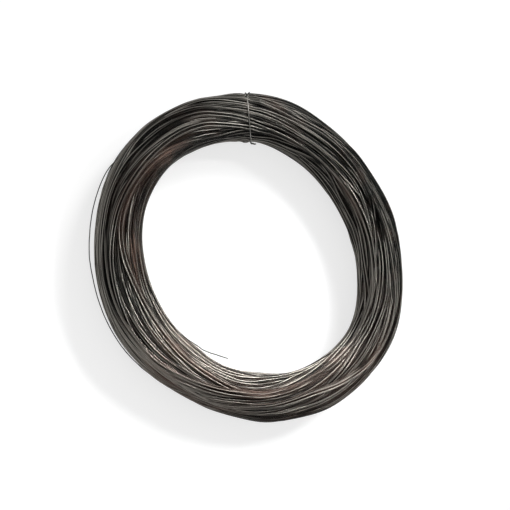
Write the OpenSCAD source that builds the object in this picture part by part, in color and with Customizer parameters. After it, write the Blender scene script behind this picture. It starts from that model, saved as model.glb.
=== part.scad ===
// Coil of drawn steel wire, lying flat, held by one tie.
// The origin is on the coil's axis at the level it rests on, and +Z is up.
// The coil is one turned solid: every turn that shows is a ridge round its section.

/* [Coil] */
// Clear diameter of the eye, across the innermost turns
eye_d = 391; // [330:1:430]
// Width of the band of turns, from the eye to the outside
band_w = 73; // [60:1:90]
// Height of the band of turns
band_h = 83; // [60:1:100]

/* [Wire] */
// Diameter of the wire
wire_d = 1.6; // [1.4:0.1:3]
// How far two turns that lie side by side press into each other
turn_press = 0.06; // [0.03:0.01:0.1]

/* [Loose turn] */
// Direction in which the loose turn leaves the coil
loose_from = 209; // [200:1:220]
// Direction in which it goes back into the coil
loose_to = 279; // [265:1:290]
// How far it stands out past the widest turns, down on the floor
loose_out = 2.5; // [1:0.5:12]
// How far below the level line it leaves the band, as an angle round the section
loose_drop = 42; // [30:1:55]

/* [Free end] */
// Direction in which the free end leaves the coil
end_from = 289; // [285:1:295]
// Direction of its tip
end_to = 312; // [306:1:320]
// How far the tip stands off the turns, into the eye
end_off = 14; // [6:1:20]
// How far above the level line it leaves the band, as an angle round the section
end_rise = 30; // [15:1:45]

/* [Tie] */
// Direction of the tie
tie_at = 154; // [120:1:180]
// Diameter of the tie wire
tie_d = 1.6; // [1.2:0.1:2.5]
// Clearance between the tie and what it lies on
tie_gap = 0.3; // [0.2:0.05:0.5]
// How far the tie lies below the crests of the turns beside it
tie_sink = 0.1; // [0.05:0.05:0.5]
// Clearance on each side of the tie, in the pinch that it makes
pinch_gap = 0.8; // [0.4:0.1:3]
// How far above the level line the outer twist stands, as an angle round the section
outer_rise = 32; // [0:1:45]
// Length of the twist on the outside of the coil
outer_twist = 8; // [8:1:16]
// How far the outer twist is bent over along the turns
outer_lean = 10; // [5:5:45]
// Length of the twist in the eye
inner_twist = 11; // [8:1:18]
// How far the inner twist is bent over along the turns
inner_lean = 85; // [5:5:90]
// Length of one full turn of a twist where it is tightest, in tie wire diameters
twist_lay = 3.6; // [3.5:0.1:6]
// Radius of the bend where a tie wire turns into its twist
tie_bend = 2.5; // [2:0.5:4]
// How far each cut end splays out from its twist
splay = 2.2; // [0:0.2:4]

/* [Hidden] */

// Faces on the ridge of one turn, and round the squeezed section
ridge_sides = 4;
pinch_sides = 48;
// Sides of a swept wire
wire_sides = 8;
// Distance between the rings of a swept wire, along the coil and over the band
ring_step = 5;
// Rings in a bend and in a twist
bend_rings = 6;
twist_rings = 26;
// How deep a wire that leaves the coil starts below the crests of the turns
root = 2.5 * wire_d;
// Clearance between the two wires of a twist
twist_gap = 0.16;
// Share of a twist's length over which it is wound, before its ends splay
wound_share = 0.8;
// How much tighter a twist is at its middle than on the whole, as it starts and ends gently
twist_wind = 1.5;

mean_r = eye_d / 2 + band_w / 2;
mid_z = band_h / 2;

// Outline through the centres of the outer turns: a rectangle with round corners
corner_r = (min(band_w, band_h) - wire_d) / 2;
flat_x = (band_w - wire_d) / 2 - corner_r;
flat_z = (band_h - wire_d) / 2 - corner_r;
turns_round = ceil(outline_length(0) / (wire_d - turn_press));

// Level of the tie's centre line, and of the squeezed turns' surface under it
tie_level = wire_d / 2 - tie_sink - tie_d / 2;
pinch_level = tie_level - tie_d / 2 - tie_gap;
pinch_angle = 2 * asin((tie_d / 2 + pinch_gap) / (eye_d / 2));
twist_r = tie_d / 2 + twist_gap / 2;

function unit(v) = v / norm(v);

// Length of the outline when it is moved outwards by grow
function outline_length(grow) = 4 * quarter_length(grow);
function quarter_length(grow) = flat_x + flat_z + PI / 2 * (corner_r + grow);

// How far the outline has turned at distance s along a quarter of it, in degrees
function quarter_turn(s, grow) = min(max((s - flat_z) / (corner_r + grow) * 180 / PI, 0), 90);

// Point at distance s along a quarter of the outline, from its outermost point up to its
// top. rise moves the point out, square to the outline.
function quarter_point(s, grow, rise) =
    let (r = corner_r + grow, a = quarter_turn(s, grow))
    [flat_x + (r + rise) * cos(a) - max(s - flat_z - PI / 2 * r, 0),
     min(s, flat_z) + (r + rise) * sin(a)];

// Point at distance s along the whole outline, anticlockwise from its outermost point
function outline_point(s, grow, rise = 0) =
    let (q = quarter_length(grow), k = floor(s / q), t = s - k * q, quarter = k % 4,
         p = quarter_point(k % 2 == 0 ? t : q - t, grow, rise))
    [quarter == 0 || quarter == 3 ? p.x : -p.x, quarter < 2 ? p.y : -p.y];

// Point of the band where its outline's normal has this angle above the level line
function band_point(angle, grow) =
    let (r = corner_r + grow)
    [sign(cos(angle)) * flat_x + r * cos(angle), sign(sin(angle)) * flat_z + r * sin(angle)];

// Direction of a path at each of its points
function headings(path) =
    [for (i = [0 : len(path) - 1]) unit(path[min(i + 1, len(path) - 1)] - path[max(i - 1, 0)])];

// The part of v that is square to the direction t
function square_to(v, t) = unit(v - (v * t) * t);

// A side direction for each heading, carried along the path without twisting
function carried(along, first) =
    [for (i = 0, n = square_to(first, along[0]); i < len(along);
          n = square_to(n, along[min(i + 1, len(along) - 1)]), i = i + 1) n];

// Round wire of diameter d swept along a path
module swept_wire(path, d, side) {
    last = len(path) - 1;
    along = headings(path);
    normals = carried(along, side);
    points = [for (i = [0 : last], k = [0 : wire_sides - 1])
        let (a = 360 * k / wire_sides)
        path[i] + d / 2 * (cos(a) * normals[i] + sin(a) * cross(along[i], normals[i]))];
    skin = [for (i = [0 : last - 1], k = [0 : wire_sides - 1], half = [0, 1])
        let (a = i * wire_sides + k, b = i * wire_sides + (k + 1) % wire_sides)
        half == 0 ? [a, a + wire_sides, b] : [b, a + wire_sides, b + wire_sides]];
    near_cap = [for (k = [0 : wire_sides - 1]) k];
    far_cap = [for (k = [wire_sides - 1 : -1 : 0]) last * wire_sides + k];
    polyhedron(points, concat([near_cap, far_cap], skin));
}

// Point in a direction round the coil's axis, at place p of the band's section
function round_point(direction, p) =
    [(mean_r + p.x) * cos(direction), (mean_r + p.x) * sin(direction), mid_z + p.y];

// Height of a turn's surface above its centre, at distance x beside the centre
function ridge(x) = sqrt(wire_d * wire_d / 4 - x * x);

// Section of the band: the ridges of its outer turns, and all that they enclose
module band_section() {
    step = outline_length(0) / turns_round;
    translate([mean_r, mid_z])
        polygon([for (i = [0 : turns_round - 1], k = [0 : ridge_sides - 1])
            let (x = (k / ridge_sides - 1 / 2) * step)
            outline_point((i + 1 / 2) * step + x, 0, ridge(x))]);
}

// Section of the band under the tie, where the turns are squeezed together
module pinched_section() {
    step = outline_length(pinch_level) / pinch_sides;
    translate([mean_r, mid_z])
        polygon([for (i = [0 : pinch_sides - 1]) outline_point(i * step, pinch_level)]);
}

// The wound band, squeezed where the tie holds it. The squeezed turns run on inside the
// band, on each side of the pinch.
module band() {
    rotate([0, 0, tie_at + pinch_angle / 2])
        rotate_extrude(angle = 360 - pinch_angle) band_section();
    rotate([0, 0, tie_at - pinch_angle / 2 - pinch_angle])
        rotate_extrude(angle = pinch_angle + 2 * pinch_angle) pinched_section();
}

// A turn of the coil's underside that has sprung out and dropped to the floor
module loose_turn() {
    inside = band_point(-loose_drop, wire_d / 2 - root);
    floor_point = [band_w / 2 + loose_out, wire_d / 2 - mid_z];
    half = (loose_to - loose_from) / 2;
    rings = ceil(2 * half * PI / 180 * mean_r / ring_step);
    path = [for (i = [0 : rings])
        let (u = 2 * i / rings - 1)
        round_point(loose_from + half * (1 + u), floor_point + (inside - floor_point) * u * u)];
    swept_wire(path, wire_d, [0, 0, 1]);
}

// The end of the wire, which stands off into the eye
module free_end() {
    inside = band_point(180 - end_rise, wire_d / 2 - root);
    tip = band_point(180 - end_rise, wire_d / 2) - [end_off, 0];
    rings = ceil((end_to - end_from) * PI / 180 * mean_r / ring_step);
    path = [for (i = [0 : rings])
        let (u = i / rings)
        round_point(end_from + (end_to - end_from) * u, inside + (tip - inside) * pow(u, 1.4))];
    swept_wire(path, wire_d, [0, 0, 1]);
}

module wire_coil() {
    color([0.29, 0.28, 0.26]) {
        band();
        loose_turn();
        free_end();
    }
}

// One wire of a twist, from the band outwards. at is where the twist starts on the tie's
// centre line, out is square to the band, along is the way the twist is bent over by lean
// degrees, and up is the way the wire comes from.
function twist_branch(at, out, along, lean, up, length) =
    let (foot = at + tie_bend * out,
         reach = length / (lean * PI / 180),
         full = 360 * wound_share * length / (twist_wind * twist_lay * tie_d),
         bend = [for (i = [0 : bend_rings - 1])
             let (a = 90 * i / bend_rings)
             foot + (twist_r + tie_bend * (1 - sin(a))) * up - tie_bend * cos(a) * out],
         twist = [for (i = [0 : twist_rings])
             let (t = i / twist_rings,
                  w = min(t / wound_share, 1),
                  turn = full * w * w * (3 - 2 * w),
                  open = max(t - wound_share, 0) / (1 - wound_share),
                  r = twist_r + splay * pow(open, 1.5),
                  a = lean * t,
                  middle = foot + reach * (sin(a) * out + (1 - cos(a)) * along),
                  over = cross(cos(a) * out + sin(a) * along, up))
             middle + r * (cos(turn) * up + sin(turn) * over)])
    concat(bend, twist);

// Point of the tie's centre line at distance s round the band
function tie_point(s) = let (p = outline_point(s, tie_level)) [p.x, 0, p.y];

function backwards(list) = [for (i = [len(list) - 1 : -1 : 0]) list[i]];

// One of the two wires of the tie, over the band if side is 1 and under it if side is -1
module tie_wire(side) {
    girth = outline_length(tie_level);
    // The outer twist stands square to the band, and the inner one is level
    outer_s = flat_z + (corner_r + tie_level) * outer_rise * PI / 180;
    outer_out = [cos(outer_rise), 0, sin(outer_rise)];
    outer_up = side * [-sin(outer_rise), 0, cos(outer_rise)];
    outer = twist_branch(tie_point(outer_s), outer_out, [0, 1, 0], outer_lean, outer_up, outer_twist);
    inner = twist_branch(tie_point(girth / 2), [-1, 0, 0], [0, -1, 0], inner_lean, [0, 0, side],
                         inner_twist);
    // The wire lies on the band from one bend to the other
    start = twist_r + tie_bend;
    near = side > 0 ? outer_s + start : outer_s + girth - start;
    far = girth / 2 - side * start;
    rings = ceil(abs(far - near) / ring_step);
    over = [for (i = [0 : rings]) tie_point(near + (far - near) * i / rings)];
    color([0.47, 0.46, 0.44])
        rotate([0, 0, tie_at])
            translate([mean_r, 0, mid_z])
                swept_wire(concat(backwards(outer), over, inner), tie_d, [0, 1, 0]);
}

module tie_wire_upper() {
    tie_wire(1);
}

module tie_wire_lower() {
    tie_wire(-1);
}

wire_coil();
tie_wire_upper();
tie_wire_lower();
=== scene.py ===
import math

import bpy
import numpy as np
from mathutils import Matrix, Vector


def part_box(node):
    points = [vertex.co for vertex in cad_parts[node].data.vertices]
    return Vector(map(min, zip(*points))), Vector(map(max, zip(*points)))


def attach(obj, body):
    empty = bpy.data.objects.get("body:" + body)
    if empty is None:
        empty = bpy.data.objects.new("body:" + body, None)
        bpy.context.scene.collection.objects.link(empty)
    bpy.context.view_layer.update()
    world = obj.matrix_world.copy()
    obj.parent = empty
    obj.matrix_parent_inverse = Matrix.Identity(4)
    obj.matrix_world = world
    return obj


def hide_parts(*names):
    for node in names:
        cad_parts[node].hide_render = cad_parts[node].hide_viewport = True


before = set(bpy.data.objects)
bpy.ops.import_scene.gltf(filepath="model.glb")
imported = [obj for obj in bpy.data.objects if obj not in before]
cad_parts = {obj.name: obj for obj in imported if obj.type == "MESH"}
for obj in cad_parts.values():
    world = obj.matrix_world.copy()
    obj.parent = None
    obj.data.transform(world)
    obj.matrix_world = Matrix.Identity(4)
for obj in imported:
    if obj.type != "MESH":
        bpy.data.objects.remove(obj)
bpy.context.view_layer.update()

MM = 0.001
# Sizes of the band of turns, in metres
WIRE_D = 0.0016
WIRE_R = WIRE_D / 2
BAND_W = 0.073
BAND_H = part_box("wire_coil")[1].z
OUTER_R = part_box("wire_coil")[1].x
MEAN_R = OUTER_R - BAND_W / 2
MID_Z = BAND_H / 2
CORNER_R = BAND_W / 2
FLANK = (BAND_H - BAND_W) / 2
QUARTER = FLANK + math.pi / 2 * CORNER_R
ROUND = 4 * QUARTER
# Everything stays this far above the floor, and the turns this far inside the solid's radius
LIFT = 0.00001
EDGE_ROOM = 0.0001

# The photograph's view: how far the coil's axis is tipped from the line of sight, how far
# the picture is turned, and the camera's distance and lens
VIEW_TILT = math.radians(30.26)
VIEW_ROLL = math.radians(61.63)
VIEW_DISTANCE = 2.02
VIEW_LENS = 90
SENSOR = 36
VIEW_BACK = np.array([0, -math.sin(VIEW_TILT), math.cos(VIEW_TILT)])
VIEW_LEVEL = np.array([math.cos(VIEW_ROLL), 0, 0])
VIEW_ACROSS = np.cross([1, 0, 0], VIEW_BACK) * -math.sin(VIEW_ROLL) + VIEW_LEVEL
VIEW_UP = np.cross(VIEW_BACK, VIEW_ACROSS)
# Where the middle of the ring's outline falls in that view, from the coil's axis
SEEN_MIDDLE = (-0.0094, -0.0056)

# The tie, the loose turn and the free end, as directions from +X
TIE_AT = math.radians(154)
LOOSE_FROM, LOOSE_TO = math.radians(201.5), math.radians(293)
END_FROM, END_TO = math.radians(289), math.radians(310)

# Grid on which the turns are laid: stations round the coil, cells round its section
STATIONS = 640
CELLS = 1000
CELL = ROUND / CELLS
DIRECTIONS = np.arange(STATIONS) * 2 * math.pi / STATIONS

# Seeds of the chance that lays the turns, and of the first layer's
SEED, FIRST_SEED = 7, 5
rng = np.random.default_rng(SEED)


def periodic(knots):
    """A smooth closed curve through (direction in degrees, value) knots, at every station."""
    knots = sorted(knots)
    at = np.array([k[0] for k in knots], float)
    value = np.array([k[1] for k in knots], float)
    n = len(at)
    at = np.concatenate([at - 360, at, at + 360])
    value = np.tile(value, 3)
    slope = np.gradient(value, at)
    x = np.degrees(DIRECTIONS)
    i = np.clip(np.searchsorted(at, x, side="right") - 1, n - 1, 2 * n)
    w = at[i + 1] - at[i]
    t = (x - at[i]) / w
    a = (1 + 2 * t) * (1 - t) ** 2
    b = t * (1 - t) ** 2
    c = t * t * (3 - 2 * t)
    d = t * t * (t - 1)
    return a * value[i] + b * w * slope[i] + c * value[i + 1] + d * w * slope[i + 1]


def drift(amount, waves):
    """A smooth random closed curve, made of the fewest to the most of these waves round the
    coil."""
    fewest, most = waves
    out = np.zeros(STATIONS)
    for k in range(fewest, most + 1):
        out += rng.normal() / k * np.cos(k * DIRECTIONS + rng.uniform(0, 2 * math.pi))
    return out * amount


def section_place(s, off):
    """Offsets (out, up) from the middle of the section at distance s round it, moved out by
    off, and the outward direction there."""
    s = np.mod(s, ROUND)
    quarter = np.floor(s / QUARTER).astype(int)
    t = s - quarter * QUARTER
    t = np.where(quarter % 2 == 0, t, QUARTER - t)
    a = np.clip((t - FLANK) / CORNER_R, 0, math.pi / 2)
    side = np.where((quarter == 0) | (quarter == 3), 1.0, -1.0)
    top = np.where(quarter < 2, 1.0, -1.0)
    out = side * (CORNER_R + off) * np.cos(a)
    up = top * (np.minimum(t, FLANK) + (CORNER_R + off) * np.sin(a))
    return out, up, side * np.cos(a), top * np.sin(a)


def in_space(direction, out, up):
    """Places given as offsets from the middle of the section, in this direction."""
    return np.stack([(MEAN_R + out) * np.cos(direction), (MEAN_R + out) * np.sin(direction),
                     MID_Z + up], -1)


def ring_point(direction, s, off):
    """Place at distance s round the section, moved out by off, and its outward direction."""
    out, up, nx, nz = section_place(s, off)
    c, d = np.cos(direction), np.sin(direction)
    return in_space(direction, out, up), np.stack([nx * c, nx * d, nz], -1)


def outer_edge_angle(direction):
    """Angle round the section, from its outermost point upwards, of the outline's outer edge
    in the photograph's view."""
    return np.arctan(math.tan(VIEW_TILT) * np.sin(direction))


# The flanks of the section count within this angle of level
STEEP = math.radians(20)


def across(share, direction):
    """Distance round the section of a place that the photograph shows at this share of the
    band's breadth, 0 at the outer edge and 1 at the eye."""
    turns = np.floor(share)
    angle = outer_edge_angle(direction) + math.pi * turns + np.arccos(1 - 2 * (share - turns))
    low = FLANK * np.clip(angle / STEEP, -1, 1)
    over = FLANK * np.clip((angle - math.pi + STEEP) / STEEP, 0, 2)
    return angle * CORNER_R + low + over


def seen_angle(direction):
    """Angle in the photograph, clockwise from the right, at which the middle of the band
    shows in this direction."""
    middle = across(0.5 + 0 * direction, direction)
    point = ring_point(direction, middle, 0)[0] - [0, 0, MID_Z]
    scale = VIEW_DISTANCE / (VIEW_DISTANCE - point @ VIEW_BACK)
    x = point @ VIEW_ACROSS * scale - SEEN_MIDDLE[0]
    y = point @ VIEW_UP * scale - SEEN_MIDDLE[1]
    return np.degrees(np.arctan2(-y, x)) % 360


SEEN = seen_angle(DIRECTIONS)
SEEN_ORDER = np.argsort(SEEN)


def direction_seen_at(angle):
    """Direction, in degrees, that the photograph shows at this angle."""
    unit = np.tile(np.exp(1j * DIRECTIONS[SEEN_ORDER]), 3)
    angles = SEEN[SEEN_ORDER]
    angles = np.concatenate([angles - 360, angles, angles + 360])
    found = np.interp(angle, angles, unit.real) + 1j * np.interp(angle, angles, unit.imag)
    return math.degrees(np.angle(found)) % 360


def seen_share(s, direction):
    """How much a place on the section belongs to the outer edge of the photograph's outline:
    1 there, 0 at the eye's edge."""
    _, _, nx, nz = section_place(s, 0)
    a = outer_edge_angle(direction)
    return (1 + nx * np.cos(a) + nz * np.sin(a)) / 2


def bump_sum(direction, bumps):
    """Sum of the bumps in this direction, in metres."""
    total = np.zeros_like(direction)
    for at, size, spread in bumps:
        gap = np.mod(np.degrees(direction) - at + 180, 360) - 180
        total += size * MM * np.exp(-((gap / spread) ** 2))
    return total


# Where the band is fuller or leaner than an even ring: direction, millimetres, spread in degrees
OUTER_BUMPS = [
    (137, 5.5, 14), (304, -8, 17), (323, -5, 10), (343, -3, 8), (33, 3, 14), (62, -2, 10),
    (272, 1.2, 13), (233, -4.2, 16), (165, -2.5, 6), (182, -2, 9), (95, -2, 9),
]
EYE_BUMPS = [
    (30, -8, 22), (330, 3.5, 14), (293, 3, 9), (172, 3.5, 14), (153, 2.5, 7), (140, -2.5, 9),
    (90, 3.5, 18), (230, -2.5, 18),
]
# How much fuller the band is in the eye all round
EYE_FULL = 0.0035
# How far the tie draws the turns in, and how far along them that reaches
PINCH = 0.0018
PINCH_SPREAD = 0.0045


def near_tie(direction):
    """1 at the tie, falling to 0 on both sides of it."""
    along = (np.mod(direction - TIE_AT + math.pi, 2 * math.pi) - math.pi) * MEAN_R
    return np.exp(-((along / PINCH_SPREAD) ** 2))


def envelope(direction, s):
    """How far the band's surface lies outside the even ring's."""
    level_out = section_place(s, 0)[2]
    outer = np.maximum(level_out, 0) * bump_sum(direction, OUTER_BUMPS)
    inner = np.maximum(-level_out, 0) * (EYE_FULL + bump_sum(direction, EYE_BUMPS))
    return outer + inner - PINCH * near_tie(direction)


def smooth_round(values, reach):
    """Values at the stations, averaged over this reach along the coil."""
    n = values.shape[0]
    k = np.fft.rfftfreq(n, 1.0 / n)
    g = np.exp(-0.5 * (k * reach / MEAN_R) ** 2)
    if values.ndim > 1:
        g = g[:, None]
    return np.fft.irfft(np.fft.rfft(values, axis=0) * g, n, axis=0)


def smooth_section(values, reach):
    """Values over the grid, averaged over this reach round the section."""
    n = values.shape[1]
    k = np.fft.rfftfreq(n, 1.0 / n) * 2 * math.pi / ROUND
    g = np.exp(-0.5 * (k * reach) ** 2)
    return np.fft.irfft(np.fft.rfft(values, axis=1) * g, n, axis=1)


# How stiffly a turn bridges the hollows below it
STIFF_PASSES = 5
STIFF_REACH = 0.006


class Pile:
    """The heap of turns on the core, as the height of its surface over the grid."""

    def __init__(self):
        self.top = np.zeros((STATIONS, CELLS))
        self.rows = np.arange(STATIONS)
        self.span = int(WIRE_R / CELL)
        self.paths = []

    def lay(self, s, tone):
        """Lays one turn along s, its distance round the section at each station."""
        place = np.mod(s, ROUND) / CELL
        cell = np.floor(place).astype(int)
        cells, arches = [], []
        for k in range(-self.span, self.span + 2):
            gap = (cell + k - place) * CELL
            inside = np.abs(gap) < WIRE_R
            cells.append((cell + k) % CELLS)
            arches.append(np.where(inside, np.sqrt(np.maximum(WIRE_R**2 - gap**2, 0)), -1))
        rest = np.full(STATIONS, -1.0)
        for c, arch in zip(cells, arches):
            rest = np.maximum(rest, np.where(arch >= 0, self.top[self.rows, c] + arch, -1))
        height = rest
        for _ in range(STIFF_PASSES):
            height = np.maximum(rest, smooth_round(height, STIFF_REACH))
        height = smooth_round(height, STIFF_REACH / 2)
        for c, arch in zip(cells, arches):
            new = np.where(arch >= 0, height + arch, -1)
            self.top[self.rows, c] = np.maximum(self.top[self.rows, c], new)
        self.paths.append((s, height, tone))


# How the wires of a ribbon lie, in wire diameters: from each to the next, from a strand of
# one to four wires to the next strand, and how far ribbons, strands and single wires stray
NEXT_WIRE = (1.05, 1.3)
NEXT_STRAND = (0.45, 1.3)
MOST_IN_STRAND = 4
WANDER = 0.12
SWAY, WOBBLE = 1.5 * WANDER, 1.2 * WANDER
# How much a ribbon's breadth varies round the coil
FANNING = 0.10
# The fewest and the most waves round the coil of that breadth and of what strays
FAN_WAVES, RIBBON_WAVES, STRAND_WAVES, WIRE_WAVES = (1, 3), (1, 6), (2, 5), (3, 10)
# Tones, from 0 for dark to 1 for light: of dark and light wires, how often a wire is like the
# one before, and how much strands, ribbons and single wires vary. The dark and light wires are
# painted shade and painted highlights, for the shade in the gaps between wires and the light on
# their crests; the smaller variations are the wires' own tones.
PAINTED_SHADE_WIRE, PAINTED_HIGHLIGHT_WIRE = 0.04, 0.82
LIKE_BEFORE = 0.3
STRAND_TONES, RIBBON_TONES, WIRE_TONES = 0.08, 0.08, 0.09


def lay_ribbon(pile, middle, breadth, tone, spread=1.0):
    """Lays wires in strands side by side along a middle line, given as a distance round the
    section at each station. The breadth is in wire diameters."""
    fan = spread * (1 + FANNING * drift(1, FAN_WAVES))
    wander = drift(WANDER * WIRE_D, RIBBON_WAVES)
    places = []
    at, light = 0.0, False
    while at < breadth:
        shade = rng.normal() * STRAND_TONES
        sway = drift(SWAY * WIRE_D, STRAND_WAVES)
        for _ in range(rng.integers(1, MOST_IN_STRAND + 1)):
            light = light if rng.random() < LIKE_BEFORE else not light
            places.append((at, shade + (PAINTED_HIGHLIGHT_WIRE if light else PAINTED_SHADE_WIRE), sway))
            at += rng.uniform(*NEXT_WIRE)
        at += rng.uniform(*NEXT_STRAND)
    if rng.random() < 0.5:
        places.reverse()
    for place, shade, sway in places:
        wobble = drift(WOBBLE * WIRE_D, WIRE_WAVES)
        s = middle + (place - breadth / 2) * WIRE_D * fan + wander + sway + wobble
        pile.lay(s, RIBBON_TONES * tone + shade + WIRE_TONES * rng.normal())


pile = Pile()

# The first layer, side by side all round the section
FIRST_PITCH = 1.1 * WIRE_D
FIRST_TURNS = int(ROUND / FIRST_PITCH)
FIRST_TONES = [0.1, 0.35, 0.75]
FIRST_WOBBLE = 0.1 * WIRE_D
# Each of its turns wobbles with three to six waves round the coil
FIRST_WAVES = (3, 7)
# How far the layer swings round the section, once and twice round the coil, and where it starts
SWING_ONCE, SWING_TWICE, SWING_START = 0.006, 0.004, 1
first_rng = np.random.default_rng(FIRST_SEED)
swing = SWING_ONCE * np.sin(DIRECTIONS + SWING_START) + SWING_TWICE * np.sin(2 * DIRECTIONS)
for k in range(FIRST_TURNS):
    waves, phase = first_rng.integers(*FIRST_WAVES), first_rng.uniform(0, 2 * math.pi)
    own = FIRST_WOBBLE * np.sin(waves * DIRECTIONS + phase)
    pile.lay(k * ROUND / FIRST_TURNS + swing + own, first_rng.choice(FIRST_TONES))

# Lower turns, laid at random in ribbons all round the section
LOWER_RIBBONS = 24
LOWER_DRIFT, LOWER_WAVES = 0.012, (1, 3)
LOWER_TURNS = (9, 17)
LOWER_TONE, LOWER_TONES = -0.3, 0.4
for _ in range(LOWER_RIBBONS):
    middle = rng.uniform(0, ROUND) + drift(LOWER_DRIFT, LOWER_WAVES)
    turns = rng.integers(*LOWER_TURNS)
    lay_ribbon(pile, middle, turns, rng.normal() * LOWER_TONES + LOWER_TONE)

# Ribbons of turns that the photograph shows, from the lowest to the topmost: how many turns,
# their tone, how much they are spread, and a line of (angle in the photograph clockwise from
# the right, share of the band's breadth from the outer edge to the eye)
SEEN_RIBBONS = [
    (10, 0.0, 1.2, [
        (0, 0.93), (30, 0.95), (60, 0.96), (90, 0.93), (120, 0.93), (150, 0.93), (180, 0.92),
        (210, 0.92), (240, 0.93), (270, 0.95), (300, 0.92), (330, 0.93),
    ]),
    (12, 0.2, 1.1, [
        (0, 0.78), (20, 0.85), (40, 0.88), (60, 0.86), (85, 0.80), (100, 0.76), (120, 0.78),
        (150, 0.79), (180, 0.80), (215, 0.78), (240, 0.88), (270, 0.85), (300, 0.82), (330, 0.82),
    ]),
    (12, 0.0, 1.1, [
        (0, 0.12), (20, 0.10), (40, 0.10), (60, 0.10), (90, 0.10), (120, 0.02), (150, 0.00),
        (180, 0.02), (210, 0.02), (240, 0.07), (260, 0.10), (280, 0.20), (300, 0.15),
        (315, 0.08), (340, 0.03),
    ]),
    (14, 0.1, 1.1, [
        (0, 0.32), (20, 0.26), (40, 0.25), (60, 0.24), (75, 0.22), (90, 0.20), (105, 0.12),
        (120, 0.06), (150, -0.02), (180, 0.00), (210, 0.05), (230, 0.10), (250, 0.18),
        (270, 0.30), (285, 0.36), (300, 0.36), (315, 0.34), (330, 0.30), (345, 0.27),
    ]),
    (14, -0.2, 1.0, [
        (0, 0.46), (20, 0.42), (40, 0.42), (60, 0.40), (75, 0.40), (90, 0.36), (105, 0.26),
        (125, 0.20), (150, 0.28), (180, 0.33), (210, 0.30), (240, 0.35), (255, 0.44),
        (270, 0.55), (300, 0.55), (320, 0.50), (340, 0.47),
    ]),
    (16, 0.1, 1.0, [
        (0, 0.60), (20, 0.62), (40, 0.63), (60, 0.52), (80, 0.48), (95, 0.60), (110, 0.65),
        (125, 0.68), (140, 0.68), (155, 0.70), (170, 0.73), (185, 0.73), (200, 0.70),
        (215, 0.72), (230, 0.80), (250, 0.80), (270, 0.75), (290, 0.77), (310, 0.72),
        (330, 0.74), (345, 0.70),
    ]),
    (12, 0.3, 1.1, [
        (0, 0.80), (15, 0.86), (30, 0.93), (50, 0.96), (65, 0.94), (80, 0.90), (95, 0.85),
        (105, 0.86), (120, 0.84), (140, 0.84), (160, 0.86), (180, 0.87), (200, 0.86),
        (215, 0.85), (235, 0.92), (260, 0.92), (285, 0.93), (300, 0.87), (312, 0.78),
        (322, 0.72), (335, 0.70), (350, 0.74),
    ]),
    (14, -0.2, 1.0, [
        (0, 0.90), (20, 0.95), (50, 0.90), (65, 0.86), (80, 0.72), (95, 0.60), (105, 0.52),
        (115, 0.50), (125, 0.52), (135, 0.53), (150, 0.52), (165, 0.55), (180, 0.52),
        (195, 0.50), (205, 0.55), (215, 0.63), (225, 0.71), (235, 0.80), (250, 0.87),
        (265, 0.88), (280, 0.88), (300, 0.85), (320, 0.84), (345, 0.86),
    ]),
    (12, -0.4, 1.0, [
        (0, 0.80), (20, 0.85), (40, 0.84), (60, 0.80), (75, 0.70), (90, 0.55), (105, 0.42),
        (115, 0.40), (125, 0.42), (140, 0.42), (155, 0.42), (170, 0.42), (185, 0.42),
        (195, 0.43), (205, 0.48), (215, 0.56), (225, 0.65), (235, 0.74), (245, 0.81),
        (255, 0.81), (270, 0.78), (290, 0.80), (310, 0.76), (340, 0.76),
    ]),
    (12, -0.5, 1.0, [
        (0, 0.76), (20, 0.80), (40, 0.78), (60, 0.74), (75, 0.64), (90, 0.50), (105, 0.38),
        (120, 0.30), (140, 0.32), (160, 0.30), (180, 0.30), (195, 0.32), (205, 0.36),
        (215, 0.44), (225, 0.54), (235, 0.61), (245, 0.67), (255, 0.72), (270, 0.68),
        (285, 0.72), (300, 0.70), (320, 0.66), (340, 0.69),
    ]),
    (10, 0.1, 1.2, [
        (0, 0.15), (20, 0.14), (40, 0.14), (60, 0.16), (80, 0.15), (95, 0.10), (110, 0.03),
        (130, -0.03), (160, -0.05), (200, -0.03), (230, 0.00), (255, 0.05), (270, 0.12),
        (285, 0.22), (300, 0.29), (315, 0.24), (330, 0.24), (345, 0.21),
    ]),
    (13, 0.3, 1.0, [
        (0, 0.78), (20, 0.80), (35, 0.80), (50, 0.78), (62, 0.72), (75, 0.62), (90, 0.56),
        (100, 0.46), (110, 0.37), (120, 0.29), (135, 0.24), (150, 0.17), (170, 0.15),
        (190, 0.15), (205, 0.17), (213, 0.24), (222, 0.33), (235, 0.42), (245, 0.45),
        (255, 0.52), (268, 0.56), (280, 0.64), (290, 0.66), (300, 0.63), (315, 0.60),
        (330, 0.63), (345, 0.70),
    ]),
    (18, 0.3, 1.05, [
        (0, 0.60), (15, 0.60), (30, 0.67), (45, 0.67), (60, 0.62), (72, 0.54), (85, 0.44),
        (95, 0.36), (105, 0.25), (115, 0.16), (125, 0.12), (140, 0.09), (155, 0.05), (180, 0.07),
        (205, 0.10), (225, 0.11), (240, 0.16), (255, 0.26), (268, 0.36), (280, 0.44),
        (295, 0.46), (315, 0.43), (330, 0.46), (345, 0.55),
    ]),
]
# Breadth of a ribbon over that of its turns side by side
SEEN_PITCH = 1.12


def seen_line(line):
    """Distance round the section, at every station, of a line of (angle in the photograph,
    share)."""
    middle = []
    for angle, share in line:
        direction = direction_seen_at(angle)
        middle.append((direction, float(across(np.array(share), math.radians(direction)))))
    return periodic(middle)


for turns, tone, spread, line in SEEN_RIBBONS:
    lay_ribbon(pile, seen_line(line), turns * SEEN_PITCH, tone, spread)
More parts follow.
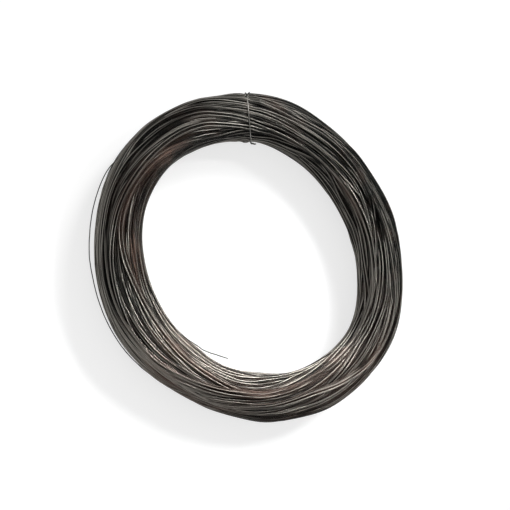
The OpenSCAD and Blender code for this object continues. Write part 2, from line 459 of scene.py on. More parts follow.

# Lines that stand out in the photograph: dark turns as painted shade for the shaded gaps between
# ribbons, with light ones beside them as painted highlights
SEEN_LINES = [
    [(110, 0.57), (120, 0.55), (130, 0.49), (145, 0.43), (165, 0.38), (180, 0.33), (195, 0.35),
     (205, 0.42), (215, 0.55), (225, 0.68), (232, 0.78), (240, 0.85), (255, 0.90), (280, 0.93),
     (290, 0.90), (300, 0.85), (320, 0.75), (340, 0.77), (0, 0.83), (30, 0.95), (60, 0.90),
     (76, 0.80), (90, 0.70), (100, 0.62)],
    [(97, 0.72), (105, 0.76), (125, 0.79), (145, 0.80), (165, 0.76), (180, 0.66), (195, 0.60),
     (208, 0.64), (220, 0.71), (230, 0.78), (240, 0.87), (255, 0.93), (270, 0.85), (285, 0.79),
     (300, 0.76), (312, 0.79), (325, 0.86), (345, 0.87), (0, 0.90), (15, 0.88), (30, 0.84),
     (40, 0.86), (60, 0.83), (76, 0.74)],
    [(300, 0.34), (325, 0.37), (335, 0.42), (343, 0.52), (350, 0.58), (0, 0.65), (15, 0.70),
     (30, 0.74), (45, 0.70), (65, 0.60), (78, 0.50), (85, 0.45), (95, 0.40), (103, 0.30),
     (110, 0.19), (120, 0.14), (135, 0.12), (150, 0.10), (180, 0.13), (210, 0.17), (230, 0.15),
     (255, 0.16), (270, 0.28), (285, 0.34)],
    [(255, 0.70), (265, 0.75), (280, 0.79), (295, 0.77), (312, 0.70), (335, 0.60), (350, 0.55),
     (0, 0.55), (15, 0.58), (30, 0.63), (37, 0.66), (50, 0.58), (62, 0.48), (75, 0.38),
     (90, 0.27), (105, 0.20), (125, 0.22), (150, 0.30), (180, 0.40), (200, 0.50), (215, 0.60),
     (230, 0.66), (245, 0.68)],
    [(65, 0.50), (80, 0.42), (90, 0.33), (97, 0.24), (110, 0.12), (120, 0.08), (140, 0.05),
     (180, 0.06), (210, 0.09), (225, 0.08), (240, 0.05), (255, 0.07), (269, 0.14), (280, 0.22),
     (290, 0.27), (300, 0.24), (317, 0.24), (330, 0.28), (345, 0.28), (0, 0.27), (20, 0.17),
     (35, 0.18), (50, 0.34)],
    [(85, 0.60), (95, 0.52), (100, 0.46), (107, 0.38), (115, 0.31), (120, 0.25), (140, 0.19),
     (160, 0.14), (185, 0.14), (205, 0.17), (215, 0.21), (230, 0.17), (240, 0.17), (255, 0.25),
     (262, 0.33), (270, 0.38), (280, 0.44), (290, 0.50), (305, 0.50), (325, 0.46), (345, 0.58),
     (0, 0.70), (20, 0.80), (35, 0.84), (50, 0.80), (65, 0.73), (75, 0.67)],
    [(45, 0.80), (65, 0.78), (75, 0.73), (85, 0.67), (92, 0.65), (100, 0.60), (110, 0.52),
     (120, 0.42), (127, 0.34), (147, 0.26), (155, 0.22), (180, 0.20), (195, 0.22), (210, 0.25),
     (220, 0.30), (230, 0.36), (240, 0.40), (250, 0.43), (260, 0.50), (268, 0.58), (280, 0.68),
     (290, 0.70), (305, 0.70), (325, 0.69), (345, 0.69), (0, 0.72), (20, 0.73), (30, 0.78)],
]
# The turns along each line: how many diameters beside it, and their tone. How far they sway
# together, stray and wobble, in diameters, and how much their tones vary.
LINE_TURNS = [(-2.9, 0.1), (-1.9, 0.75), (2.2, 0.8), (3.3, 0.15), (-0.5, 0.0), (0.5, 0.0),
              (1.2, 0.55)]
LINE_SWAY, LINE_STRAY, LINE_WOBBLE, LINE_TONES = 0.3, 0.1, 0.15, 0.08
for line in SEEN_LINES:
    middle = seen_line(line)
    sway = drift(LINE_SWAY * WIRE_D, RIBBON_WAVES)
    for place, tone in LINE_TURNS:
        beside = (place + LINE_STRAY * rng.normal()) * WIRE_D
        s = middle + sway + beside + drift(LINE_WOBBLE * WIRE_D, WIRE_WAVES)
        pile.lay(s, tone + LINE_TONES * rng.normal())

# The surface is brought to the band's envelope: its slow rise and fall, over these reaches
# along the coil and round the section, is taken out and the relief of the ribbons stays
LEVEL_REACH = (0.024, 0.010)
level = smooth_section(smooth_round(pile.top, LEVEL_REACH[0]), LEVEL_REACH[1])
# How far inside the envelope the level surface lies, and how far turns rise and dip from it
MARGIN = 0.0024
MOST_RISE, MOST_DIP = 0.0022, 0.0055
grid_direction, grid_s = np.meshgrid(DIRECTIONS, (np.arange(CELLS) + 0.5) * CELL, indexing="ij")
shell = envelope(grid_direction, grid_s) - MARGIN


def at_grid(values, s):
    """Values over the grid at distance s round the section, at each station."""
    place = np.mod(s, ROUND) / CELL - 0.5
    cell = np.floor(place).astype(int)
    part = place - cell
    rows = np.arange(STATIONS)
    return values[rows, cell % CELLS] * (1 - part) + values[rows, (cell + 1) % CELLS] * part


# How much less the turns rise under the tie
TIE_FLATTENS = 0.6


def drawn_in(rise, direction):
    """The rise of a turn over the level surface, with the highest and lowest ones drawn in,
    and more so under the tie."""
    most = MOST_RISE * (1 - TIE_FLATTENS * near_tie(direction))
    dip = MOST_DIP * np.tanh(rise / MOST_DIP)
    return np.where(rise > 0, most * np.tanh(rise / most), dip)


def relief(height, s):
    """Distance out from the even ring of a height over the grid, with the highest and lowest
    places drawn in."""
    return at_grid(shell, s) + drawn_in(height - at_grid(level, s), DIRECTIONS)


# Near the tie the turns step sideways together, towards the eye, and then drift back: how far,
# in which direction, and over how many degrees they step and drift back
STEP = 0.005
STEP_AT = math.radians(173)
STEP_SPREAD = math.radians(2.4)
STEP_BACK = math.radians(50)


def step_aside(s):
    """The distances round the section, with that step."""
    gap = np.mod(DIRECTIONS - STEP_AT + math.pi, 2 * math.pi) - math.pi
    back = np.exp(-((np.minimum(gap, 0) / STEP_BACK) ** 2))
    step = 1 / (1 + np.exp(gap / STEP_SPREAD)) * back
    share = seen_share(s, DIRECTIONS)
    top_side = np.sin(s / ROUND * 2 * math.pi) > 0
    return s + STEP * step * (4 * share * (1 - share)) ** 2 * top_side


# What lies this far below the highest turns within reach of it is in a hollow, and is painted
# darker by up to this much: painted shade
HOLLOW_REACH = int(1.2 * WIRE_D / CELL)
HOLLOW_DEPTH = 1.3 * WIRE_D
HOLLOW_PAINTED_SHADE = 0.9
near_cells = range(-HOLLOW_REACH, HOLLOW_REACH + 1)
crests = np.max([np.roll(pile.top, k, 1) for k in near_cells], axis=0)
# A turn shows where it lies no more than this below the pile's surface
SHOWS_BELOW = 0.25 * WIRE_D


def exposure(s, height):
    """Share of the stations at which a turn's own top is the pile's surface."""
    return np.mean(at_grid(pile.top, s) < height + WIRE_R + SHOWS_BELOW)


def wire_points(s, height, steps):
    """Centre line of a turn, resampled to this many steps, the outward direction of the
    section there, how brown it is, and how much lighter than its own tone it is painted: painted
    highlights and painted shade, with painted shade in the hollows."""
    off = relief(height, s)
    hollow = np.clip((at_grid(crests, s) - height - WIRE_R) / HOLLOW_DEPTH, 0, 1)
    s = step_aside(s)
    x = np.arange(steps) * STATIONS / steps
    i = np.floor(x).astype(int)
    part = x - i
    j = (i + 1) % STATIONS
    direction = np.arange(steps) * 2 * math.pi / steps
    place = s[i] * (1 - part) + s[j] * part
    points, normals = ring_point(direction, place, off[i] * (1 - part) + off[j] * part)
    edge = OUTER_R - WIRE_R - EDGE_ROOM
    points = np.clip(points, [-edge, -edge, WIRE_R + LIFT], [edge, edge, BAND_H - WIRE_R])
    # Painted shade on the turn where it lies in a hollow
    dark = HOLLOW_PAINTED_SHADE * (hollow[i] * (1 - part) + hollow[j] * part)
    brown = place_sum(BROWN_PLACES, place, direction)
    return points, normals, brown, place_sum(PAINTED_LIGHT_AND_SHADE_PLACES, place, direction) - dark


def tube_quads(rings, sides, closed=True):
    """Quads between the rings of a tube, and from the last to the first if it is closed."""
    i = np.arange(rings if closed else rings - 1)[:, None]
    k = np.arange(sides)[None]
    j = (i + 1) % rings
    k2 = (k + 1) % sides
    quads = [i * sides + k, i * sides + k2, j * sides + k2, j * sides + k]
    return np.stack(quads, -1).reshape(-1, 4)


def tube_arrays(points, normals, sides, radius, closed=True):
    """Vertices and quads of a round tube along points."""
    if closed:
        along = np.roll(points, -1, 0) - np.roll(points, 1, 0)
    else:
        along = np.gradient(points, axis=0)
    along /= np.linalg.norm(along, axis=1)[:, None]
    normals = normals - along * np.sum(normals * along, 1)[:, None]
    normals /= np.linalg.norm(normals, axis=1)[:, None]
    beside = np.cross(along, normals)
    a = (np.arange(sides) * 2 * math.pi / sides)[None, :, None]
    ring = normals[:, None] * np.cos(a) + beside[:, None] * np.sin(a)
    verts = (points[:, None] + radius * ring).reshape(-1, 3)
    return verts, tube_quads(len(points), sides, closed)


def add_piece(name, verts, quads, tones, warmths, slot, node):
    """A mesh with its tone, which carries painted highlights and painted shade as well, and its
    warmth at every vertex, in place of the solid in this node.
    """
    mesh = bpy.data.meshes.new(name)
    mesh.vertices.add(len(verts))
    mesh.vertices.foreach_set("co", verts.astype(np.float32).ravel())
    mesh.loops.add(quads.size)
    mesh.loops.foreach_set("vertex_index", quads.astype(np.int32).ravel())
    mesh.polygons.add(len(quads))
    starts = np.arange(0, quads.size, 4, dtype=np.int32)
    mesh.polygons.foreach_set("loop_start", starts)
    mesh.update(calc_edges=True)
    mesh.validate()
    mesh.polygons.foreach_set("use_smooth", np.ones(len(quads), bool))
    colours = mesh.color_attributes.new("tone", "FLOAT_COLOR", "POINT")
    values = np.stack([tones, warmths, 0 * tones, 0 * tones + 1], -1)
    colours.data.foreach_set("color", values.astype(np.float32).ravel())
    obj = bpy.data.objects.new(name, mesh)
    bpy.context.scene.collection.objects.link(obj)
    mesh.materials.append(STEELS[slot])
    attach(obj, "root")
    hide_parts(node)


# The steel: how metallic it is, its roughness, the bumps of its scale, and the noise that
# makes its brown patches and its grain
METALLIC = 0.95
ROUGHNESS = (0.24, 0.42)
BUMP_STRENGTH, BUMP_DISTANCE = 0.15, 0.0002
PATCH_SCALE, PATCH_DETAIL = 24, 6
PATCH_FROM, PATCH_TO, PATCH_BROWN = 0.5, 0.75, 0.22
GRAIN_SCALE, GRAIN_DETAIL = 420, 3


def steel(name, dark, light, brown):
    """A steel whose tone runs from dark to light by the mesh's own values, which carry painted
    highlights and painted shade as well as the turns' own tones, with brown over it.
    """
    material = bpy.data.materials.new(name)
    material.use_nodes = True
    nodes, links = material.node_tree.nodes, material.node_tree.links

    def noise(scale, detail):
        node = nodes.new("ShaderNodeTexNoise")
        node.inputs["Scale"].default_value = scale
        node.inputs["Detail"].default_value = detail
        links.new(place.outputs["Object"], node.inputs["Vector"])
        return node

    def mix(colour):
        node = nodes.new("ShaderNodeMix")
        node.data_type = "RGBA"
        node.inputs["B"].default_value = (*colour, 1)
        return node

    shader = nodes["Principled BSDF"]
    shader.inputs["Metallic"].default_value = METALLIC
    place = nodes.new("ShaderNodeTexCoord")
    tone = nodes.new("ShaderNodeAttribute")
    tone.attribute_name = "tone"
    patches = noise(PATCH_SCALE, PATCH_DETAIL)
    grain = noise(GRAIN_SCALE, GRAIN_DETAIL)
    parts = nodes.new("ShaderNodeSeparateColor")
    links.new(tone.outputs["Color"], parts.inputs["Color"])
    ramp = mix(light)
    ramp.inputs["A"].default_value = (*dark, 1)
    links.new(parts.outputs["Red"], ramp.inputs["Factor"])
    level = nodes.new("ShaderNodeMapRange")
    level.inputs["From Min"].default_value = PATCH_FROM
    level.inputs["From Max"].default_value = PATCH_TO
    level.inputs["To Max"].default_value = PATCH_BROWN
    links.new(patches.outputs["Fac"], level.inputs["Value"])
    both = nodes.new("ShaderNodeMath")
    both.operation = "ADD"
    both.use_clamp = True
    links.new(level.outputs["Result"], both.inputs[0])
    links.new(parts.outputs["Green"], both.inputs[1])
    warm = mix(brown)
    links.new(both.outputs[0], warm.inputs["Factor"])
    links.new(ramp.outputs["Result"], warm.inputs["A"])
    links.new(warm.outputs["Result"], shader.inputs["Base Color"])
    rough = nodes.new("ShaderNodeMapRange")
    rough.inputs["To Min"].default_value, rough.inputs["To Max"].default_value = ROUGHNESS
    links.new(grain.outputs["Fac"], rough.inputs["Value"])
    links.new(rough.outputs["Result"], shader.inputs["Roughness"])
    bump = nodes.new("ShaderNodeBump")
    bump.inputs["Strength"].default_value = BUMP_STRENGTH
    bump.inputs["Distance"].default_value = BUMP_DISTANCE
    links.new(grain.outputs["Fac"], bump.inputs["Height"])
    links.new(bump.outputs["Normal"], shader.inputs["Normal"])
    return material


STEELS = {
    "coil_steel": steel("coil_steel", dark=(0.0095, 0.0095, 0.0086),
                        light=(0.345, 0.327, 0.292), brown=(0.13, 0.084, 0.066)),
    "tie_steel": steel("tie_steel", dark=(0.05, 0.049, 0.045), light=(0.35, 0.34, 0.32),
                       brown=(0.13, 0.09, 0.07)),
}

# Browner places, as seen in the photograph: angle, share of the breadth, how far each reaches
# in angle and in share, and how brown
BROWN_PLACES = [
    (205, 0.58, 16, 0.16, 0.5), (180, 0.85, 16, 0.12, 0.45), (225, 0.80, 14, 0.10, 0.35),
    (38, 0.18, 16, 0.12, 0.22), (120, 0.1, 16, 0.15, 0.4), (330, 0.75, 12, 0.08, 0.35),
    (240, 0.75, 10, 0.08, 0.15), (55, 0.5, 26, 0.4, 0.18), (105, 0.55, 30, 0.5, 0.22),
    (132, 0.6, 14, 0.5, 0.22),
]

# Painted highlights and painted shade: places painted lighter or darker than the turns' own tone,
# in the same way
PAINTED_LIGHT_AND_SHADE_PLACES = [
    (232, 0.96, 24, 0.15, -1.1), (185, 0.97, 30, 0.13, -0.6), (150, 0.12, 34, 0.16, 0.25),
    (185, 0.0, 26, 0.12, 0.2), (200, 0.25, 18, 0.12, 0.3), (185, 0.85, 22, 0.2, -0.1),
    (240, 0.42, 12, 0.12, -0.3), (325, 0.74, 34, 0.15, 0.34), (70, 0.68, 25, 0.15, -0.12),
    (82, 0.95, 16, 0.12, -0.2), (75, 0.02, 34, 0.12, -0.8), (290, 0.02, 18, 0.12, -0.65),
    (340, 0.02, 30, 0.14, -0.8), (328, 0.32, 20, 0.22, -0.45), (82, 0.25, 12, 0.16, -0.3),
    (90, 0.58, 8, 0.12, -0.4), (240, 0.42, 9, 0.1, -0.4), (5, 0.74, 26, 0.22, 0.45),
    (112, 0.90, 30, 0.22, 0.15), (128, 0.65, 22, 0.35, 0.3), (132, 0.2, 14, 0.2, 0.35),
    (120, 0.35, 35, 0.22, 0.65),
]
# They count on the side that the photograph shows, less so where it is seen edge on, and end
# a little beyond that
EDGE_ON, FACING = 0.7, 1.4


def place_sum(places, s, direction):
    """Sum of the places' amounts at distance s round the section."""
    seen = np.interp(np.degrees(direction), np.degrees(DIRECTIONS), np.unwrap(np.radians(SEEN)))
    share = 1 - seen_share(s, direction)
    total = np.zeros_like(direction)
    for angle, at, reach, breadth, amount in places:
        gap = np.mod(seen - math.radians(angle) + math.pi, 2 * math.pi) - math.pi
        near = np.exp(-((np.degrees(gap) / reach) ** 2) - ((share - at) / breadth) ** 2)
        total += amount * near
    facing = ring_point(direction, s, 0)[1] @ VIEW_BACK
    return total * np.clip(EDGE_ON + FACING * facing, 0, 1)


# Turns that show less than this are left out. The rest get sides and steps by how much of
# them shows, and are joined into pieces of at most this many quads.
LEAST_SHOWN = 0.01
FINENESS = [(0.3, 6, 176), (0.12, 5, 160), (0, 4, 120)]
MOST_QUADS = 96000
# How much one turn's warmth differs from another's
WARMTHS = (0.1, 1.9)
batches, batch, count = [], [], 0
for s, height, tone in pile.paths:
    shown = exposure(s, height)
    if shown < LEAST_SHOWN:
        continue
    sides, steps = next(fine[1:] for fine in FINENESS if shown > fine[0])
    points, normals, warm, shade = wire_points(s, height, steps)
    verts, quads = tube_arrays(points, normals, sides, WIRE_R)
    if count + len(quads) > MOST_QUADS:
        batches.append(batch)
        batch, count = [], 0
    warm *= rng.uniform(*WARMTHS)
    # The vertex tone: the turn's own tone with its painted highlights and painted shade added
    batch.append((verts, quads, np.repeat(tone + shade, sides), np.repeat(warm, sides)))
    count += len(quads)
batches.append(batch)
for number, batch in enumerate(batches, 1):
    firsts = np.cumsum([0] + [len(verts) for verts, _, _, _ in batch])
    quads = np.concatenate([b[1] + first for b, first in zip(batch, firsts)])
    verts, tones, warm = (np.concatenate([b[k] for b in batch]) for k in (0, 2, 3))
    add_piece("turns_%d" % number, verts, quads, np.clip(tones, 0, 1), warm, "coil_steel",
              "wire_coil")

# Core under the laid turns: its steps and sides, how smooth it is along the coil and round
# the section, and how far below the turns it lies
CORE_STEPS, CORE_SIDES = 180, 96
CORE_REACH = (0.012, 0.004)
CORE_BELOW = 0.0003
smooth = smooth_section(smooth_round(level, CORE_REACH[0]), CORE_REACH[1])
bottom = shell - MOST_DIP * np.tanh(smooth / MOST_DIP) - CORE_BELOW
core_rows = np.arange(CORE_STEPS) * STATIONS // CORE_STEPS
core_cells = np.arange(CORE_SIDES) * CELLS // CORE_SIDES
direction = (np.arange(CORE_STEPS) * 2 * math.pi / CORE_STEPS)[:, None]
s = (np.arange(CORE_SIDES) * ROUND / CORE_SIDES)[None]
verts = ring_point(direction, s + 0 * direction, bottom[np.ix_(core_rows, core_cells)])[0]
verts = verts.reshape(-1, 3)
# The core gets the darkest tone and no brown: painted shade, so that the gaps between the turns
# show dark
plain = np.zeros(len(verts))
add_piece("inner_turns", verts, tube_quads(CORE_STEPS, CORE_SIDES), plain, plain,
          "coil_steel", "wire_coil")

# The surface of the laid turns
surface = shell + drawn_in(pile.top - level, DIRECTIONS[:, None])
# Radius at which a wire's end closes, and the share of its own radius that it has at the ring
# before, for rounded ends
POINT = 1e-5
ROUNDED = 0.7
# Sides of the loose turn's and the free end's tubes
LOOSE_SIDES = 8


def surface_off(directions, s):
    """How far the surface of the laid turns lies out from the even ring, in each direction."""
    rows = [int(round(a / (2 * math.pi) * STATIONS)) % STATIONS for a in directions]
    return surface[rows, int(s % ROUND / CELL) % CELLS]


def section_distance(angle):
    """Distance round the section of the place whose outward direction has this angle above
    level."""
    return angle * CORNER_R + FLANK * np.sign(np.sin(angle))


def open_wire(name, direction, out, up, angle, tone):
    """A wire with rounded ends through places given in the plane of the section, on the side
    of it that faces at this angle above level."""
    normals = np.stack([math.cos(angle) * np.cos(direction),
                        math.cos(angle) * np.sin(direction),
                        math.sin(angle) + 0 * direction], -1)
    size = np.full(len(direction), WIRE_R)
    size[[0, -1]] = POINT
    size[[1, -2]] = WIRE_R * ROUNDED
    points = in_space(direction, out, up)
    verts, quads = tube_arrays(points, normals, LOOSE_SIDES, size[:, None, None], closed=False)
    tones = np.full(len(verts), tone)
    add_piece(name, verts, quads, tones, np.zeros(len(verts)), "coil_steel", "wire_coil")


def smooth_open(values, reach):
    """A running mean over this many values on both sides, which keeps the length."""
    window = np.ones(2 * reach + 1) / (2 * reach + 1)
    return np.convolve(np.pad(values, reach, mode="edge"), window, mode="valid")


# How far the loose wires' hidden ends sink between the turns
SINK = 0.004
# How far from each end, as a share of the wire's run, the ring lies that rounds it
CAP = 0.01 / 3


def capped(values):
    """Parameter values with one more close to each end, for its rounding."""
    first = [values[0], values[0] + CAP]
    return np.concatenate([first, values[1:-1], [values[-1] - CAP, values[-1]]])


# The loose turn: it springs clear of the band, LOOSE_CLEAR of the way down to the floor at
# most, and lies back on it slowly. It runs on between the turns beyond both ends, and sinks
# there: how far before the start and how far along the run that begins, and over which share.
# Its seat and its lie are evened out over this many points on both sides.
LOOSE_CLEAR = 0.56
LOOSE_RISES_BY = 0.12
LOOSE_OUT = 0.0025
LOOSE_AT = math.radians(-42)
LOOSE_RUN = (-0.1, 1.08)
LOOSE_POINTS = 170
LOOSE_SINKS = (0.03, 1.02, 0.06)
SEAT_EVEN, LIE_EVEN = 6, 4
LOOSE_TONE = 0.1
u = capped(np.linspace(*LOOSE_RUN, LOOSE_POINTS))
direction = LOOSE_FROM + u * (LOOSE_TO - LOOSE_FROM)
seat = smooth_open(surface_off(direction, section_distance(LOOSE_AT)), SEAT_EVEN) + WIRE_R
before, after, over = LOOSE_SINKS
seat -= SINK * np.clip(np.maximum(-u - before, u - after) / over, 0, 1) ** 2
start = np.clip(u / LOOSE_RISES_BY, 0, 1)
clear = LOOSE_CLEAR * start * start * (3 - 2 * start) * (1 - np.clip(u, 0, 1) ** 3)
lie = 1 - smooth_open(clear, LIE_EVEN)
on_out, on_up, _, _ = section_place(section_distance(LOOSE_AT) + 0 * u, seat)
floor_out, floor_up = BAND_W / 2 + LOOSE_OUT, WIRE_R + LIFT - MID_Z
open_wire("loose_turn", direction, floor_out + (on_out - floor_out) * lie,
          floor_up + (on_up - floor_up) * lie, LOOSE_AT, LOOSE_TONE)

# The free end, which comes out from between the turns and stands off END_OFF into the eye
END_OFF = 0.0145
END_SEAT = 0.0006
END_RUN = 0.45
END_POINTS = 50
END_AT = math.pi - math.radians(30)
END_EVEN = 5
END_TONE = 0.0
u = capped(np.linspace(-END_RUN, 1, END_POINTS))
direction = END_FROM + (END_TO - END_FROM) * u
seat = smooth_open(surface_off(direction, section_distance(END_AT)), END_EVEN) + END_SEAT
seat = seat - SINK * np.clip(-u / END_RUN, 0, 1) ** 2
on_out, on_up, _, _ = section_place(section_distance(END_AT) + 0 * u, seat)
open_wire("free_end", direction, on_out - END_OFF * np.clip(u, 0, 1), on_up, END_AT,
          END_TONE)

# The tie: two wires that are twisted together on the outside and in the eye. For both twists:
# where it stands, its length, how far it leans over along the turns, how far its cut ends
# splay, how far it is wound, and over which share of its length.
TIE_R = 0.0008
TIE_BEND = 0.0016
# Half of the gap between the twisted wires
HALF_GAP = 0.00008
TWIST_R = TIE_R + HALF_GAP
TIE_OUTER_RISE = math.radians(50)
OUTER_TWIST, INNER_TWIST = 0.0058, 0.011
OUTER_LEAN, INNER_LEAN = math.radians(10), math.radians(85)
OUTER_SPLAY, INNER_SPLAY = 0.0032, 0.0016
OUTER_TURN, INNER_TURN = math.pi / 2, 2 * math.pi
OUTER_WOUND, INNER_WOUND = 0.45, 0.8
# The tie leans along the turns: the directions of its twists
OUTER_AT, INNER_AT = TIE_AT + math.radians(0.9), TIE_AT - math.radians(3.5)
# A twist leans over within this share of its length, and its cut ends splay along a curve
LEANS_BY = 0.35
SPLAY_CURVE = 1.3
BEND_POINTS, TWIST_POINTS, TIE_POINTS = 8, 40, 90
TIE_SIDES = 10
# How far the tie sinks between the turns, and how it bridges them
TIE_SINK = 0.0002
TIE_REACH, TIE_STIFF = 0.005, 0.006
# Tones: of the wire, how much darker it is where it is twisted and at its cut ends, and how
# many points both of these take
TIE_TONE, TWISTED_DARK, CUT_DARK = 0.75, 0.4, 0.3
TWISTED_POINTS, CUT_POINTS = 38, 8


def tie_seat():
    """How far out the tie lies: on the highest turns near each place, and stiff between them."""
    rows = [int(round(TIE_AT / (2 * math.pi) * STATIONS)) + k for k in (-1, 0, 1)]
    high = np.max(surface[rows], axis=0)
    reach = int(TIE_REACH / CELL)
    high = np.max([np.roll(high, k) for k in range(-reach, reach + 1)], axis=0)
    return smooth_section(high[None], TIE_STIFF)[0] + TIE_R - TIE_SINK


def twist_branch(at, out, along, lean, up, length, full, splay, wound):
    """One wire of a twist, from the band outwards: its bend, the wound part and the end that
    splays."""
    foot = at + TIE_BEND * out
    reach = LEANS_BY * length / lean
    bend = np.arange(BEND_POINTS) * math.pi / (2 * BEND_POINTS)
    points = [foot + (TWIST_R + TIE_BEND * (1 - math.sin(a))) * up - TIE_BEND * math.cos(a) * out
              for a in bend]
    for t in np.linspace(0, 1, TWIST_POINTS):
        w = min(t / wound, 1)
        turn = full * w * w * (3 - 2 * w)
        r = TWIST_R + splay * max((t - wound) / (1 - wound), 0) ** SPLAY_CURVE
        a = lean * min(t / LEANS_BY, 1)
        straight = length * max(t - LEANS_BY, 0)
        ahead = reach * math.sin(a) + straight * math.cos(a)
        aside = reach * (1 - math.cos(a)) + straight * math.sin(a)
        middle = foot + ahead * out + aside * along
        over = np.cross(math.cos(a) * out + math.sin(a) * along, up)
        points.append(middle + r * (math.cos(turn) * up + math.sin(turn) * over))
    return np.array(points)


# How far from the tie's own direction it is looked for, and how often that is halved
SEARCH, HALVINGS = 0.2, 30


def straight_in_view(s, off, first, last):
    """Directions at which a wire through places s, moved out by off, shows as a straight line
    in the photograph."""
    eye = np.array([0, 0, MID_Z]) + VIEW_DISTANCE * VIEW_BACK
    ends = [ring_point(np.array(d), np.array(s[k]), off[k])[0] - eye
            for d, k in ((first, 0), (last, -1))]
    across_line = np.cross(ends[0], ends[1])
    low, high = np.full(len(s), TIE_AT - SEARCH), np.full(len(s), TIE_AT + SEARCH)
    sign = np.sign((ring_point(high, s, off)[0] - eye) @ across_line)
    for _ in range(HALVINGS):
        middle = (low + high) / 2
        above = (ring_point(middle, s, off)[0] - eye) @ across_line * sign > 0
        low, high = np.where(above, low, middle), np.where(above, middle, high)
    return (low + high) / 2


tie_off = tie_seat()
outer_s, inner_s = FLANK + CORNER_R * TIE_OUTER_RISE, ROUND / 2
outer_out = np.array([math.cos(TIE_OUTER_RISE), 0, math.sin(TIE_OUTER_RISE)])
outer_up = np.array([-math.sin(TIE_OUTER_RISE), 0, math.cos(TIE_OUTER_RISE)])
# The first corner of every ring of the tube lies along the turns and this much upwards, so
# that it still has a direction where the wire itself runs along them
RING_UP = 0.01


def add_tie_wire(name, side, far_s):
    """One wire of the tie, from the outer twist round the section to the one in the eye, at
    far_s: over the band for side 1, under it for side -1."""
    start = side * (TWIST_R + TIE_BEND)
    s = np.linspace(outer_s + start, far_s - start, TIE_POINTS)
    lie = tie_off[np.mod(s / CELL, CELLS).astype(int)]
    out, up, _, _ = section_place(s, lie)
    ends = []
    for at_s, off in ((outer_s, lie[0]), (inner_s, lie[-1])):
        at_out, at_up, _, _ = section_place(np.array([at_s]), off)
        ends.append(np.array([at_out[0], 0, at_up[0]]))
    outer_end = twist_branch(ends[0], outer_out, np.array([0, 1, 0]), OUTER_LEAN,
                             side * outer_up, OUTER_TWIST, OUTER_TURN, OUTER_SPLAY, OUTER_WOUND)
    inner_end = twist_branch(ends[1], np.array([-1, 0, 0]), np.array([0, -1, 0]), INNER_LEAN,
                             side * np.array([0, 0, 1]), INNER_TWIST, INNER_TURN, INNER_SPLAY,
                             INNER_WOUND)
    path = np.concatenate([outer_end[::-1], np.stack([out, 0 * out, up], -1), inner_end])
    if side > 0:
        at = straight_in_view(s, lie, OUTER_AT, INNER_AT)
    else:
        at = OUTER_AT + (INNER_AT - OUTER_AT) * np.sqrt(np.linspace(0, 1, len(s)))
    at = np.concatenate([np.full(len(outer_end), OUTER_AT), at,
                         np.full(len(inner_end), INNER_AT)])
    c, d = np.cos(at), np.sin(at)
    points = np.stack([(MEAN_R + path[:, 0]) * c - path[:, 1] * d,
                       (MEAN_R + path[:, 0]) * d + path[:, 1] * c, MID_Z + path[:, 2]], -1)
    points[:, 2] = np.clip(points[:, 2], TIE_R + LIFT, BAND_H - TIE_R)
    size = np.full(len(points), TIE_R)
    size[[0, -1]] = POINT
    normals = np.stack([-d, c, 0 * c + RING_UP], -1)
    verts, quads = tube_arrays(points, normals, TIE_SIDES, size[:, None, None], closed=False)
    twisted, cut = np.zeros(len(points)), np.zeros(len(points))
    twisted[:TWISTED_POINTS] = twisted[-TWISTED_POINTS:] = 1
    cut[:CUT_POINTS] = cut[-CUT_POINTS:] = 1
    tones = np.repeat(TIE_TONE - TWISTED_DARK * twisted - CUT_DARK * cut, TIE_SIDES)
    add_piece("tie_" + name, verts, quads, tones, 0 * tones, "tie_steel", "tie_wire_" + name)


add_tie_wire("upper", 1, inner_s)
add_tie_wire("lower", -1, inner_s - ROUND)

# Camera
camera = bpy.data.objects.new("camera", bpy.data.cameras.new("camera"))
bpy.context.scene.collection.objects.link(camera)
camera.data.lens = VIEW_LENS
camera.data.sensor_width = SENSOR
turn = Matrix((Vector(VIEW_ACROSS), Vector(VIEW_UP), Vector(VIEW_BACK))).transposed().to_4x4()
place = Vector((0, 0, MID_Z)) + VIEW_DISTANCE * Vector(VIEW_BACK)
camera.matrix_world = Matrix.Translation(place) @ turn
bpy.context.scene.camera = camera


def seen_as(tree, socket, always, camera, glossy, transmission):
    """Sets a strength, with more of it for the rays by which the camera, metal and glass see
    it."""
    path = tree.nodes.new("ShaderNodeLightPath")
    total = None
    for ray, strength in (("Is Camera Ray", camera), ("Is Glossy Ray", glossy),
                          ("Is Transmission Ray", transmission)):
        part = tree.nodes.new("ShaderNodeMath")
        part.operation = "MULTIPLY_ADD"
        part.inputs[1].default_value = strength
        part.inputs[2].default_value = always
        tree.links.new(path.outputs[ray], part.inputs[0])
        if total:
            tree.links.new(total.outputs[0], part.inputs[2])
        total = part
    tree.links.new(total.outputs[0], socket)


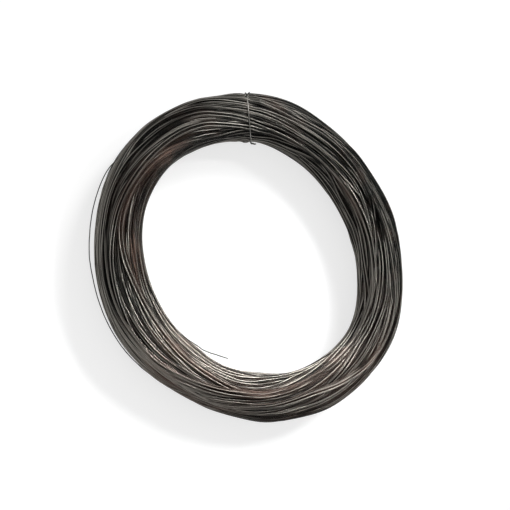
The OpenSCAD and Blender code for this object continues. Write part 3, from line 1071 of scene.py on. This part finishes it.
# Floor. Its glow: for all rays, and what the camera, metal and glass see besides
FLOOR_SIZE = 12
FLOOR_COLOUR = (0.4, 0.4, 0.4, 1)
FLOOR_ROUGHNESS, FLOOR_SPECULAR = 0.9, 0.1
FLOOR_SEEN = (0, 0.70, 0.60, 0.60)
bpy.ops.mesh.primitive_plane_add(size=FLOOR_SIZE, location=(0, 0, 0))
floor = bpy.context.object
floor.name = "floor"
white = bpy.data.materials.new("floor_white")
white.use_nodes = True
white_shader = white.node_tree.nodes["Principled BSDF"]
white_shader.inputs["Base Color"].default_value = FLOOR_COLOUR
white_shader.inputs["Roughness"].default_value = FLOOR_ROUGHNESS
white_shader.inputs["Specular IOR Level"].default_value = FLOOR_SPECULAR
white_shader.inputs["Emission Color"].default_value = (1, 1, 1, 1)
seen_as(white.node_tree, white_shader.inputs["Emission Strength"], *FLOOR_SEEN)
floor.data.materials.append(white)

# Light: the world's strength for all rays, and what the camera, metal and glass see besides
WORLD_SEEN = (0.46, 0.54, 0.08, 0.54)
world = bpy.data.worlds.new("studio")
bpy.context.scene.world = world
world.use_nodes = True
background = world.node_tree.nodes["Background"]
background.inputs["Color"].default_value = (1, 1, 1, 1)
seen_as(world.node_tree, background.inputs["Strength"], *WORLD_SEEN)


def area_light(name, aim, towards, distance, size, power, spread=180):
    """A round lamp in this direction from the place it is aimed at."""
    light = bpy.data.lights.new(name, "AREA")
    light.shape = "DISK"
    light.size = size
    light.energy = power
    light.spread = math.radians(spread)
    obj = bpy.data.objects.new(name, light)
    bpy.context.scene.collection.objects.link(obj)
    obj.location = Vector(aim) + Vector(towards).normalized() * distance
    obj.rotation_euler = Vector(towards).to_track_quat("Z", "Y").to_euler()


area_light("key", aim=(0, 0, MID_Z), towards=(-0.37, 0.68, 0.63), distance=3.2, size=1.0,
           power=60)
area_light("side", aim=(0.16, -0.16, MID_Z), towards=(-0.11, 0.73, 0.68), distance=1.5,
           size=0.5, power=1.0, spread=27)

bpy.context.scene.view_settings.view_transform = "Standard"
